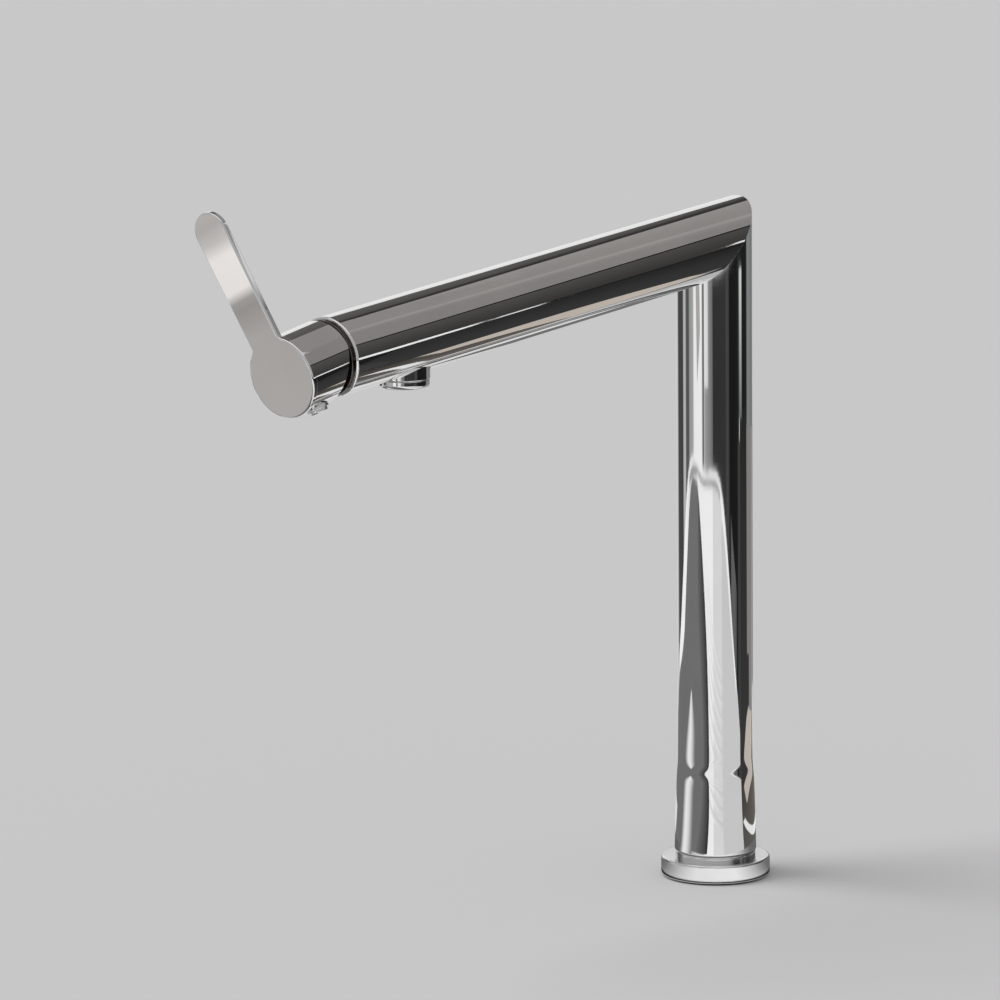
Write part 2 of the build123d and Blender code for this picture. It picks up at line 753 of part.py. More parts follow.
with BuildPart() as disc_carrier:
    with BuildSketch(across_rotor(carrier_start)):
        with Locations((0, disc_offset)):
            Circle(carrier_diameter / 2)
            Rectangle(carrier_flats, carrier_diameter, mode=Mode.INTERSECT)
    extrude(amount=carrier_height)
    with BuildSketch(across_rotor(socket_floor)):
        with Locations((0, ball_rest)):
            Circle(ball_radius + running_gap)
    extrude(amount=carrier_end - socket_floor, mode=Mode.SUBTRACT)
    mouth = disc_carrier.faces().sort_by(arm_axis)[-1].inner_wires()[0]
    chamfer(mouth.edges(), 2 * running_gap)

# Rotor: turns in the housing, guides the carrier with two lugs and holds the pivot pin
lug_start = carrier_start + running_gap
plate_start = carrier_end + running_gap
plate_end = plate_start + rotor_plate_height
neck_end = plate_end + rotor_neck_height
rotor_radius = cartridge_radius - housing_wall - running_gap
rotor_slot_width = stem_side + 2 * running_gap
seal_middle = (plate_start + plate_end) / 2
lug_outer = rotor_radius - running_gap
lug_inner = lug_outer - stop_lug_width


def sector_plane(half_angle, turned):
    """Profile plane of a ring sector about the arm's axis, at the sector's first edge."""
    side = across_arm(0).y_dir.rotate(Axis((0, 0, 0), arm_direction), turned - half_angle)
    return Plane(origin=arm_start, x_dir=side, z_dir=side.cross(arm_direction))


with BuildPart() as cartridge_rotor:
    with BuildSketch(across_rotor(lug_start)):
        Circle(rotor_radius)
        Rectangle(carrier_flats + 2 * running_gap, 2 * rotor_radius, mode=Mode.SUBTRACT)
    extrude(amount=plate_start - lug_start)
    with BuildSketch(across_rotor(plate_start)):
        Circle(rotor_radius)
    extrude(amount=rotor_plate_height)
    with BuildSketch(across_rotor(plate_end)):
        Circle(rotor_neck_diameter / 2)
    extrude(amount=rotor_neck_height)
    with BuildSketch(sector_plane(stop_lug_angle / 2, lever_turn)):
        with Locations(((lug_inner + lug_outer) / 2, plate_end)):
            Rectangle(stop_lug_width, 2 * stop_lug_height)
    revolve(axis=arm_axis, revolution_arc=stop_lug_angle)
    with BuildSketch(across_rotor(plate_start)):
        Rectangle(rotor_slot_width, rotor_slot_length)
    extrude(amount=neck_end - plate_start, mode=Mode.SUBTRACT)
    with BuildSketch(rotor_profile):
        with Locations((rotor_radius, seal_middle)):
            Rectangle(2 * rotor_seal_section, rotor_seal_section + 2 * bond_gap)
    revolve(axis=arm_axis, mode=Mode.SUBTRACT)
    with BuildSketch(Plane(origin=pivot_point, x_dir=arm_direction, z_dir=pin_direction)):
        Circle(pivot_pin_diameter / 2 + bond_gap)
    extrude(amount=pivot_pin_length / 2 + bond_gap, both=True, mode=Mode.SUBTRACT)

with BuildPart() as rotor_seal:
    with BuildSketch(rotor_profile):
        with Locations((rotor_radius - rotor_seal_section / 2, seal_middle)):
            Circle(rotor_seal_section / 2)
    revolve(axis=arm_axis)

with BuildPart() as pivot_pin:
    with BuildSketch(Plane(origin=pivot_point, x_dir=arm_direction, z_dir=pin_direction)):
        Circle(pivot_pin_diameter / 2)
    extrude(amount=pivot_pin_length / 2, both=True)

# Cartridge housing: a plastic shell with a neck for the rotor, and a groove for its stop lug
housing_start = base_end + bond_gap
housing_ceiling = plate_end + running_gap
neck_bore = rotor_neck_diameter / 2 + running_gap
housing_bore = cartridge_radius - housing_wall
housing_neck_end = shoulder_distance + housing_neck_height
stop_half_angle = turn_range + turn_play + stop_lug_angle / 2

with BuildPart() as cartridge_housing:
    with BuildSketch(arm_profile):
        with BuildLine():
            Polyline(
                (housing_bore, housing_start),
                (cartridge_radius, housing_start),
                (cartridge_radius, shoulder_distance),
                (housing_neck_diameter / 2, shoulder_distance),
                (housing_neck_diameter / 2, housing_neck_end),
                (neck_bore, housing_neck_end),
                (neck_bore, housing_ceiling),
                (housing_bore, housing_ceiling),
                close=True,
            )
        make_face()
    revolve(axis=arm_axis)
    with BuildSketch(sector_plane(stop_half_angle, 0)):
        with Locations(((lug_inner + lug_outer) / 2, housing_ceiling)):
            Rectangle(stop_lug_width + 2 * running_gap, 2 * stop_lug_height)
    revolve(axis=arm_axis, revolution_arc=2 * stop_half_angle, mode=Mode.SUBTRACT)

# Clamp nut: screwed into the body's mouth, it holds the cartridge down by its shoulder
nut_start = shoulder_distance + bond_gap

with BuildPart() as cartridge_clamp_nut:
    with BuildSketch(across_arm(nut_start)):
        Circle(mouth_diameter / 2 - bond_gap)
    extrude(amount=arm_length - nut_start)
    with BuildSketch(across_arm(arm_length)):
        RegularPolygon(clamp_nut_across_flats / 2, 6, major_radius=False)
    extrude(amount=clamp_nut_head)
    with BuildSketch(across_arm(nut_start)):
        Circle(clamp_nut_bore / 2)
    extrude(amount=arm_length + clamp_nut_head - nut_start, mode=Mode.SUBTRACT)

# Spindle: a square stem on the pivot pin, with a ball below that pushes the carrier
with BuildPart() as spindle:
    with BuildSketch(across_lever(-stem_foot)):
        Rectangle(stem_side, stem_side)
    extrude(amount=stem_foot + stem_top)
    with BuildSketch(across_lever(-ball_distance)):
        Circle(ball_neck_diameter / 2)
    extrude(amount=ball_distance - stem_foot)
    with Locations(across_lever(-ball_distance)):
        Sphere(ball_radius)
    with BuildSketch(Plane(origin=pivot_point, x_dir=arm_direction, z_dir=pin_direction)):
        Circle(pivot_pin_diameter / 2 + bearing_gap)
    extrude(amount=stem_side, both=True, mode=Mode.SUBTRACT)

# Lever cap: a round shell with the hub that takes the stem; half of its rear rim is cut back
cap_radius = cap_diameter / 2
cap_bore = cap_radius - cap_wall
socket_side = stem_side + 2 * bond_gap
relief_depth = disc_diameter * tan(radians(rim_relief))
cap_profile = Plane(
    origin=pivot_point, x_dir=blade_direction, z_dir=blade_direction.cross(lever_direction)
)
grub_plane = Plane(
    origin=across_lever(grub_position).origin, x_dir=pin_direction, z_dir=-blade_direction
)

with BuildPart() as lever_cap:
    with BuildSketch(across_lever(0)):
        Circle(cap_radius)
        Circle(cap_bore, mode=Mode.SUBTRACT)
    extrude(amount=cap_front)
    with BuildSketch(cap_profile):
        with BuildLine():
            FilletPolyline(
                (disc_diameter, cap_rim),
                (0, cap_rim),
                (-disc_diameter, cap_rim + relief_depth),
                (-disc_diameter, 0),
                (disc_diameter, 0),
                radius=[0, rim_blend, 0, 0, 0],
                close=True,
            )
        make_face()
    extrude(amount=cap_radius, both=True, mode=Mode.SUBTRACT)
    rims = lever_cap.edges().filter_by(GeomType.LINE, reverse=True).sort_by(lever_axis)
    chamfer(rims[:-2], cap_rim_edge)
    with BuildSketch(across_lever(cap_front)):
        Circle(cap_bore)
    extrude(amount=-cap_front_wall)
    with BuildSketch(across_lever(hub_bottom)):
        Circle(hub_diameter / 2)
    extrude(amount=cap_front - hub_bottom)
    with BuildSketch(across_lever(hub_bottom)):
        Rectangle(socket_side, socket_side)
    extrude(amount=stem_top + bond_gap - hub_bottom, mode=Mode.SUBTRACT)
    with BuildSketch(across_lever(cap_front)):
        Circle(plate_boss_diameter / 2 + bond_gap)
    extrude(amount=-plate_boss_height - bond_gap, mode=Mode.SUBTRACT)
    with BuildSketch(grub_plane):
        Circle(grub_diameter / 2 + bond_gap)
    extrude(amount=hub_diameter / 2, mode=Mode.SUBTRACT)
    with BuildSketch(grub_plane.offset(hub_diameter / 2)):
        Circle(plug_hole / 2)
    extrude(amount=cap_radius - hub_diameter / 2, mode=Mode.SUBTRACT)

# Lever plate: the disc that covers the cap and the blade that the hand moves, in one piece
tip_radius = blade_tip_width / 2
tip_centre = blade_length - tip_radius

with BuildPart() as lever_plate:
    with BuildSketch(across_lever(cap_front)) as plate_outline:
        Circle(disc_diameter / 2)
        with BuildLine():
            Polyline((-blade_root_width / 2, 0), (blade_root_width / 2, 0),
                     (tip_radius, tip_centre), (-tip_radius, tip_centre), close=True)
        make_face()
        with Locations((0, tip_centre)):
            Circle(tip_radius)
        waist = plate_outline.vertices().group_by(Axis.Y)[0]
        fillet(waist, blade_corner)
    extrude(amount=plate_thickness)
    fillet(lever_plate.faces().sort_by(lever_axis)[-1].edges(), plate_front_edge)
    fillet(lever_plate.faces().sort_by(lever_axis)[0].edges(), plate_back_edge)
    with BuildSketch(across_lever(cap_front)):
        Circle(plate_boss_diameter / 2)
    extrude(amount=-plate_boss_height)

# Grub screw: clamps the hub to the stem, reached through a hole on the side below the lever
grub_start = stem_side / 2 + bond_gap

with BuildPart() as grub_screw:
    with BuildSketch(grub_plane.offset(grub_start)):
        Circle(grub_diameter / 2)
    extrude(amount=grub_length)
    with BuildSketch(grub_plane.offset(grub_start + grub_length)):
        RegularPolygon(grub_key / 2, 6, major_radius=False)
    extrude(amount=-grub_key_depth, mode=Mode.SUBTRACT)

# Plug over the grub screw: a stepped button whose flange follows the cap's curve
plug_axis = Axis(pivot_point, -blade_direction)

with BuildPart() as indicator_plug:
    with BuildSketch(grub_plane.offset(cap_radius - plug_flange)):
        Circle(plug_diameter / 2)
    extrude(amount=2 * plug_flange)
    fillet(indicator_plug.faces().sort_by(plug_axis)[-1].edges(), plug_flange_edge)
    with BuildSketch(across_lever(0)):
        Circle(cap_radius + bond_gap)
    extrude(amount=cap_front, mode=Mode.SUBTRACT)
    with BuildSketch(grub_plane.offset(cap_bore)):
        Circle(plug_hole / 2 - bond_gap)
    extrude(amount=cap_wall + plug_flange)
    with BuildSketch(grub_plane.offset(cap_radius + plug_flange)):
        Circle(plug_head_diameter / 2)
    extrude(amount=plug_head)
    fillet(indicator_plug.faces().sort_by(plug_axis)[-1].edges(), plug_edge)

pieces = {
    "base_flange": base_flange,
    "base_gasket": base_gasket,
    "threaded_shank": threaded_shank,
    "deck_seal_washer": deck_seal_washer,
    "clamp_washer": clamp_washer,
    "fixing_nut": fixing_nut,
    "jack_screws": jack_screws,
    "retaining_clip": retaining_clip,
    "swivel_stop_pin": swivel_stop_pin,
    "column_tube": column_tube,
    "arm_tube": arm_tube,
    "swivel_foot": swivel_foot,
    "lower_glide_ring": lower_glide_ring,
    "upper_glide_ring": upper_glide_ring,
    "inlet_manifold": inlet_manifold,
    "hot_pipe": hot_pipe,
    "cold_pipe": cold_pipe,
    "valve_body": valve_body,
    "outlet_boss": outlet_boss,
    "aerator_housing": aerator_housing,
    "aerator_insert": aerator_insert,
    "aerator_washer": aerator_washer,
    "neck_ring": neck_ring,
    "port_seals": port_seals,
    "cartridge_base": cartridge_base,
    "fixed_disc": fixed_disc,
    "moving_disc": moving_disc,
    "disc_carrier": disc_carrier,
    "cartridge_rotor": cartridge_rotor,
    "rotor_seal": rotor_seal,
    "pivot_pin": pivot_pin,
    "cartridge_housing": cartridge_housing,
    "cartridge_clamp_nut": cartridge_clamp_nut,
    "spindle": spindle,
    "lever_cap": lever_cap,
    "lever_plate": lever_plate,
    "grub_screw": grub_screw,
    "indicator_plug": indicator_plug,
}

for name, piece in pieces.items():
    piece.part.label = name
    export_step(piece.part, f"parts/{name}.step")
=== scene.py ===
# %% [markdown]
# # A kitchen tap with its lever at the end of the arm
#
# The tap is almost all polished chrome: an upright tube, a mitred corner, a long round arm and
# a round cap that carries a flat lever. Under the deck there is brass, rubber and zinc.
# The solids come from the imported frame, already in place and in metres. This lesson gives them
# their finishes, cuts the threads that the plain solids lack, draws the column's shoulder more
# finely, and builds a small studio.
#
# Chrome has hardly any look of its own: it shows what stands around it. So most of the work on a
# chrome object is in the studio, and the material itself stays simple.

# %% Load the frame
import json
from math import cos, pi, radians, sin

import bmesh
import bpy
import numpy as np
from mathutils import Matrix, Vector


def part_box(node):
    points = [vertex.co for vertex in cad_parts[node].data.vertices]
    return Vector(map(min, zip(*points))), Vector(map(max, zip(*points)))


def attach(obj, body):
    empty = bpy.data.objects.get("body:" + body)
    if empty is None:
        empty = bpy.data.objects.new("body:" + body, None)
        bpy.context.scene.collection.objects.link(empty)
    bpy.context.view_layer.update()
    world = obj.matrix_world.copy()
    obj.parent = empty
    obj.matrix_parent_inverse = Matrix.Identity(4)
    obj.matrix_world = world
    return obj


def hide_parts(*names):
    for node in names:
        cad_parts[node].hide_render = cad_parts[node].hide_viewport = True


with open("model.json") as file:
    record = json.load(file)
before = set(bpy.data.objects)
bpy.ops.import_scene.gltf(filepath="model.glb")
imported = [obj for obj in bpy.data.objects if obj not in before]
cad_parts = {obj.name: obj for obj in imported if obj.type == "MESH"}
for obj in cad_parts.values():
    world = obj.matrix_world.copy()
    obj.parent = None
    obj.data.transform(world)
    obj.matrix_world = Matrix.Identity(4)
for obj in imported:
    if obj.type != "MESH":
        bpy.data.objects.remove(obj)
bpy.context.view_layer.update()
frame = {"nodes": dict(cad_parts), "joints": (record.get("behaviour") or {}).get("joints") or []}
nodes = frame["nodes"]
joints = {joint["name"]: joint for joint in frame["joints"]}

# %% [markdown]
# ## One way to make every finish
#
# Each finish is a Principled shader with three small variations on it: a mottle in the colour, a
# change in the gloss, and a fine unevenness of the surface. All of them read Object coordinates,
# which are metres here, so a noise scale of 400 means grains of about 2.5 mm.
# Values that are the same all over are written on the shader itself.

# %% The noises
noise_low, noise_high = 0.3, 0.7          # most of a noise lies between these


def add_noise(tree, scale, detail, stretch):
    """A noise in object space; stretch squeezes it along X, Y and Z, as drawing a tube does."""
    coordinates = tree.nodes.new("ShaderNodeTexCoord")
    mapping = tree.nodes.new("ShaderNodeMapping")
    mapping.inputs["Scale"].default_value = stretch
    noise = tree.nodes.new("ShaderNodeTexNoise")
    noise.inputs["Scale"].default_value = scale
    noise.inputs["Detail"].default_value = detail
    tree.links.new(coordinates.outputs["Object"], mapping.inputs["Vector"])
    tree.links.new(mapping.outputs["Vector"], noise.inputs["Vector"])
    return noise.outputs["Fac"]


def add_range(tree, value, low, high):
    """Maps the usual range of a noise onto low to high."""
    reach = tree.nodes.new("ShaderNodeMapRange")
    reach.inputs["From Min"].default_value = noise_low
    reach.inputs["From Max"].default_value = noise_high
    reach.inputs["To Min"].default_value = low
    reach.inputs["To Max"].default_value = high
    tree.links.new(value, reach.inputs["Value"])
    return reach.outputs["Result"]


# %% The finish maker
finishes = {}


def finish(name, dark, light, gloss, metal=0.0, mottle=60, grain=900, bump=0.0, stretch=(1, 1, 1)):
    """A material whose colour runs from dark to light and whose roughness runs over gloss.

    mottle and grain are the scales of the two noises, and bump is the height of the finer one.
    """
    material = bpy.data.materials.new(name + "_finish")
    material.use_nodes = True
    finishes[name] = material
    tree = material.node_tree
    shader = tree.nodes["Principled BSDF"]
    shader.inputs["Metallic"].default_value = metal
    cloud = add_noise(tree, mottle, 3, stretch)
    ramp = tree.nodes.new("ShaderNodeValToRGB")
    ramp.color_ramp.elements[0].position = noise_low
    ramp.color_ramp.elements[1].position = noise_high
    ramp.color_ramp.elements[0].color = (*dark, 1)
    ramp.color_ramp.elements[1].color = (*light, 1)
    tree.links.new(cloud, ramp.inputs["Fac"])
    tree.links.new(ramp.outputs["Color"], shader.inputs["Base Color"])
    fine = add_noise(tree, grain, 4, stretch)
    tree.links.new(add_range(tree, fine, *gloss), shader.inputs["Roughness"])
    if bump:
        relief = tree.nodes.new("ShaderNodeBump")
        relief.inputs["Strength"].default_value = 1
        relief.inputs["Distance"].default_value = bump
        tree.links.new(fine, relief.inputs["Height"])
        tree.links.new(relief.outputs["Normal"], shader.inputs["Normal"])
    return material


# %% [markdown]
# ## Chrome
#
# Plated and buffed brass tube is smooth to the touch, but not quite straight: the buffing leaves
# long, very shallow waves, and they make the edges of a reflection wander. That wave is the only
# relief here, a noise of 2 to 3 cm that is a few thousandths of a millimetre high.
#
# The flange on the deck is satin rather than mirror bright, so it gets a softer chrome. The ring
# in the gap behind the cap is plated dark, and that gap is a dark line on the real tap.

# %% Chrome finishes
chrome = finish("chrome", (0.76, 0.76, 0.765), (0.80, 0.80, 0.80), (0.025, 0.05), metal=1,
                mottle=30, grain=45, bump=0.00001)
soft_chrome = finish("soft_chrome", (0.74, 0.74, 0.745), (0.79, 0.79, 0.79), (0.13, 0.20),
                     metal=1, mottle=60, grain=500, bump=0.000002)
# The same dark finish is put on the clamp nut as painted shade in the gap behind the cap.
dark_chrome = finish("dark_chrome", (0.10, 0.085, 0.075), (0.15, 0.13, 0.115), (0.12, 0.2),
                     metal=1, mottle=90)
plug_chrome = finish("plug_chrome", (0.70, 0.70, 0.71), (0.76, 0.76, 0.76), (0.05, 0.09),
                     metal=1, mottle=200)
print("so far:", *finishes)

# %% [markdown]
# ## The metals under the deck and inside
#
# Brass that is turned and left raw goes a little brown where hands and water have been, so its
# mottle is stronger. Drawn copper tube has faint lines along it. Zinc-plated steel has a cloudy,
# slightly blue grain.

# %% Metal finishes
raw_brass = finish("raw_brass", (0.50, 0.33, 0.12), (0.66, 0.47, 0.20), (0.2, 0.34), metal=1,
                   mottle=120, grain=1500, bump=0.000008, stretch=(1, 1, 4))
copper = finish("copper", (0.55, 0.22, 0.12), (0.72, 0.36, 0.23), (0.18, 0.32), metal=1,
                mottle=150, grain=1200, bump=0.000005, stretch=(1, 0.3, 0.3))
washer_steel = finish("washer_steel", (0.44, 0.45, 0.46), (0.58, 0.59, 0.60), (0.28, 0.42),
                      metal=1, mottle=300, grain=2200, bump=0.000006)
screw_steel = finish("screw_steel", (0.36, 0.36, 0.37), (0.50, 0.50, 0.50), (0.22, 0.36),
                     metal=1, mottle=400, grain=2500, bump=0.000004)
print("so far:", *finishes)

# %% [markdown]
# ## Rubber, plastics and ceramic
#
# These are inside or under the deck. Rubber is nearly black and dull, the moulded plastics are
# pale with a half gloss, and the ceramic discs are lapped until they shine.

# %% Rubber, plastic and ceramic finishes
seal_rubber = finish("seal_rubber", (0.016, 0.016, 0.017), (0.03, 0.03, 0.031), (0.5, 0.68),
                     mottle=250, grain=3000, bump=0.00002)
glide_plastic = finish("glide_plastic", (0.74, 0.73, 0.69), (0.80, 0.79, 0.75), (0.35, 0.5),
                       mottle=120, grain=1500, bump=0.00001)
insert_plastic = finish("insert_plastic", (0.66, 0.68, 0.69), (0.72, 0.74, 0.75), (0.3, 0.42),
                        mottle=150, grain=1800, bump=0.00001)
cartridge_plastic = finish("cartridge_plastic", (0.60, 0.61, 0.62), (0.67, 0.68, 0.69),
                           (0.32, 0.46), mottle=140, grain=1600, bump=0.00001)
ceramic = finish("ceramic", (0.82, 0.80, 0.74), (0.88, 0.86, 0.81), (0.12, 0.2),
                 mottle=500, grain=4000)
print("so far:", *finishes)

# %% [markdown]
# ## Who wears what
#
# Every solid comes with a material that is only a name, and the finish of that name takes its
# place. Two solids differ: the flange gets the soft chrome. The clamp nut, which shows in the
# gap when the lever is lifted, is brass in the solids; here it gets the dark chrome as painted
# shade, so that the gap stays dark.

# %% The solids' finishes
for node in nodes.values():
    for slot in node.material_slots:
        slot.material = finishes[slot.material.name]
nodes["base_flange"].material_slots[0].material = soft_chrome
# Painted shade: the brass clamp nut wears the dark chrome so the gap stays dark.
nodes["cartridge_clamp_nut"].material_slots[0].material = dark_chrome
print({name: sum(node.material_slots[0].material == made for node in nodes.values())
       for name, made in finishes.items()})

# %% [markdown]
# ## Threads
#
# The shank under the deck and the three small screws in its nut are threaded. The solids are
# plain cylinders, because a thread is many faces and carries nothing here. Each thread is one
# surface on a grid: the angle round the axis is one parameter, and the place along the outline is
# the other. The radius falls from the crest by a clipped zigzag of height and angle together,
# which winds it into a helix.

# %% Turned surfaces
def turned_piece(name, rings, centres=((0, 0),), close=False):
    """A mesh of rings round upright axes: each ring is (radii, heights) at all angles.

    Ring i, angle j is x = r cos a, y = r sin a, z = h, and it is repeated round each centre. With
    close the last ring joins the first, as on a tube; otherwise both end rings are points.
    """
    radii = np.array([radius for radius, height in rings])
    heights = np.array([height for radius, height in rings])
    ring_count, columns = radii.shape
    angles = np.arange(columns) * 2 * pi / columns
    points = np.stack([radii * np.cos(angles), radii * np.sin(angles), heights], axis=-1)
    centres = np.array([(x, y, 0) for x, y in centres])
    points = (points.reshape(-1, 3)[None] + centres[:, None]).reshape(-1, 3)
    bands = ring_count if close else ring_count - 1
    row, spoke = np.meshgrid(np.arange(bands), np.arange(columns), indexing="ij")
    ahead, beside = (row + 1) % ring_count, (spoke + 1) % columns
    quads = np.stack([row * columns + spoke, row * columns + beside,
                      ahead * columns + beside, ahead * columns + spoke], axis=-1).reshape(-1, 4)
    offsets = np.arange(len(centres))[:, None, None] * ring_count * columns
    quads = (quads[None] + offsets).reshape(-1, 4)
    mesh = bpy.data.meshes.new(name)
    mesh.from_pydata(points.tolist(), [], quads.tolist())
    piece = bpy.data.objects.new(name, mesh)
    bpy.context.scene.collection.objects.link(piece)
    return piece


def level_ring(radius, height, columns):
    """A level circle: one radius and one height at every angle."""
    return np.full(columns, float(radius)), np.full(columns, float(height))


def finish_mesh(piece, material, smooth_angle=40):
    """Merges doubled points, turns the faces outwards, smooths it and gives it its material."""
    cleaned = bmesh.new()
    cleaned.from_mesh(piece.data)
    bmesh.ops.remove_doubles(cleaned, verts=cleaned.verts, dist=1e-7)
    bmesh.ops.recalc_face_normals(cleaned, faces=cleaned.faces)
    cleaned.to_mesh(piece.data)
    cleaned.free()
    piece.data.materials.append(material)
    piece.data.shade_smooth()
    piece.data.set_sharp_from_angle(angle=radians(smooth_angle))
    print(f"{piece.name}: {len(piece.data.vertices)} points, {len(piece.data.polygons)} faces")


# %% The thread's outline
def thread_rings(radius, depth, pitch, low, high, columns, steps=8, runout=0.0015):
    """Rings of a threaded stretch: radius less depth times a clipped zigzag that winds with height.

    The zigzag is 3 |2 t - 1| - 1, held between 0 and 1, where t is the part of a turn that height
    over pitch less angle has passed. The cut fades out over the runout at both ends.
    """
    angles = np.arange(columns) / columns
    heights = np.arange(low, high, pitch / steps)
    turns = heights[:, None] / pitch - angles[None, :]
    zigzag = np.clip(3.0 * np.abs(2 * (turns % 1) - 1) - 1.0, 0, 1)
    fade = np.clip(np.minimum(heights - low, high - heights) / runout, 0, 1)[:, None]
    radii = radius - depth * zigzag * fade
    return [(ring_radii, np.full(columns, height)) for ring_radii, height in zip(radii, heights)]


# %% The threaded shank
shank_low, shank_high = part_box("threaded_shank")
shank_radius = (shank_high.x - shank_low.x) / 2
shank_wall, end_chamfer = 0.003, 0.001
shank_bore = shank_radius - shank_wall
shank_pitch, shank_depth, shank_columns = 0.0015, 0.0009, 72

rings = [level_ring(shank_bore, shank_low.z, shank_columns),
         level_ring(shank_radius - end_chamfer, shank_low.z, shank_columns)]
rings += thread_rings(shank_radius, shank_depth, shank_pitch, shank_low.z + end_chamfer,
                      shank_high.z, shank_columns)
rings += [level_ring(shank_radius, shank_high.z, shank_columns),
          level_ring(shank_bore, shank_high.z, shank_columns)]
shank_thread = turned_piece("shank_thread", rings, close=True)
finish_mesh(shank_thread, raw_brass, smooth_angle=60)
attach(shank_thread, "base")
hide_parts("threaded_shank")

# %% [markdown]
# ## The three jack screws
#
# The nut is only turned on by hand. Three small screws in it then press the steel washer up
# against the deck. Each is a threaded pin with a hexagon socket in its lower end. A hexagon is a
# ring too: its radius is half the width across the flats over the cosine of the angle from the
# middle of the nearest flat.

# %% The jack screws
jack_low, jack_high = (box_corner.z for box_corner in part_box("jack_screws"))
jack_radius, jack_circle, jack_angles = 0.0025, 0.021, (30, 150, 270)
jack_pitch, jack_depth, jack_chamfer, jack_columns = 0.0008, 0.00045, 0.0004, 36
socket_width, socket_depth, socket_chamfer = 0.0025, 0.0025, 0.0002
socket_end, half_flat = jack_low + socket_depth, pi / 6

from_flat = (np.arange(jack_columns) * 2 * pi / jack_columns + half_flat) % (pi / 3) - half_flat
socket = socket_width / 2 / np.cos(from_flat)
whole = np.ones(jack_columns)
rings = [level_ring(0, socket_end, jack_columns), (socket, whole * socket_end),
         (socket, whole * (jack_low + socket_chamfer)), (socket + socket_chamfer, whole * jack_low),
         level_ring(jack_radius - jack_chamfer, jack_low, jack_columns)]
rings += thread_rings(jack_radius, jack_depth, jack_pitch, jack_low + jack_chamfer,
                      jack_high - jack_chamfer, jack_columns, runout=jack_pitch)
rings += [level_ring(jack_radius - jack_chamfer, jack_high, jack_columns),
          level_ring(0, jack_high, jack_columns)]
jack_places = [(jack_circle * cos(radians(angle)), jack_circle * sin(radians(angle)))
               for angle in jack_angles]
jack_threads = turned_piece("jack_threads", rings, centres=jack_places)
finish_mesh(jack_threads, screw_steel, smooth_angle=50)
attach(jack_threads, "base")
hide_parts("jack_screws")

# %% [markdown]
# ## The column
#
# The real tube is drawn out into its foot very gently. On chrome such a shoulder shows at once:
# where the wall leans by one degree, the mirrored picture moves by two. The plain solid leans a
# little more than the photograph's reflections allow, so the column gets a finer outline here.
# Its lean is given first, a shallow cone below and a soft bell round the shoulder. The radius is
# that lean added up from the top down, and it ends at the solid's own radii at both ends.

# %% The column's outline
tube_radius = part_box("arm_tube")[1].x
foot_low, foot_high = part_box("column_tube")
foot_radius = foot_high.x
shoulder, shoulder_reach, bell_lean = 0.0555, 0.0042, 0.064
cone_reach, straight_from, foot_edge = 0.002, 0.070, 0.0004

levels = np.linspace(foot_low.z + foot_edge, straight_from, 150)
level_step = levels[1] - levels[0]
bell = bell_lean * np.exp(-((levels - shoulder) / shoulder_reach) ** 2)
cone = 1 / (1 + np.exp((levels - shoulder) / cone_reach))
cone *= (foot_radius - tube_radius - bell.sum() * level_step) / (cone.sum() * level_step)
lean = bell + cone
outer_radii = tube_radius + np.cumsum(lean[::-1])[::-1] * level_step
print(f"cone {np.degrees(cone.max()):.2f} degrees, steepest {np.degrees(lean.max()):.2f} degrees")

# %% The column's mitre
mitre_corner = Vector(joints["lever_turn"]["pos_m"])
arm_direction = Vector(joints["lever_turn"]["axis"])
mitre_normal = arm_direction + Vector((0, 0, 1))
mitre_rise = -mitre_normal.y / mitre_normal.z
column_columns = 160
column_angles = np.arange(column_columns) * 2 * pi / column_columns
print(f"the mitre rises {np.degrees(np.arctan(mitre_rise)):.1f} degrees along y")


def mitre_ring(radius):
    """A ring on the mitre plane: its height is the corner's, plus y times the plane's rise."""
    heights = mitre_corner.z + mitre_rise * radius * np.sin(column_angles)
    return np.full(column_columns, radius), heights


# %% The column
tube_wall = 0.0015
tube_bore, foot_bore = tube_radius - tube_wall, foot_radius - tube_wall
bore_narrow_to, bore_wide_from = 0.050, 0.0405
edge = [(outer_radii[0] - foot_edge, foot_low.z)]
edge += [(outer_radii[0] - foot_edge * (1 - sin(bend)), levels[0] - foot_edge * cos(bend))
         for bend in (0.4, 0.8, 1.2)]
inside = [(tube_bore, straight_from), (tube_bore, bore_narrow_to), (foot_bore, bore_wide_from),
          (foot_bore, foot_low.z)]

rings = [level_ring(*point, column_columns) for point in [*edge, *zip(outer_radii, levels)]]
rings += [mitre_ring(tube_radius), mitre_ring(tube_bore)]
rings += [level_ring(*point, column_columns) for point in inside]
column = turned_piece("column", rings, close=True)
finish_mesh(column, chrome)
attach(column, "spout")
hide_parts("column_tube")

# %% [markdown]
# ## The camera
#
# A long lens, about ten degrees above the level, from the right of the arm. It is shifted and
# turned in its own plane a little, as the photograph was framed.

# %% Camera
view_azimuth, view_elevation, view_roll = radians(41.649), radians(10.04), radians(-0.536)
lens_share, sensor = 5.9358, 36           # focal length over the frame's width, and that width
away, across, above, aim_height = 2.97063, -0.10718, 0.02142, 0.1708

back = Vector((sin(view_azimuth) * cos(view_elevation), -cos(view_azimuth) * cos(view_elevation),
               sin(view_elevation)))
right = Vector((cos(view_azimuth), sin(view_azimuth), 0))
up = back.cross(right)
camera_place = back * away + right * across + up * above + Vector((0, 0, aim_height))
frame_right = right * cos(view_roll) + up * sin(view_roll)
frame_up = up * cos(view_roll) - right * sin(view_roll)
camera_turn = Matrix((frame_right, frame_up, back)).transposed().to_4x4()

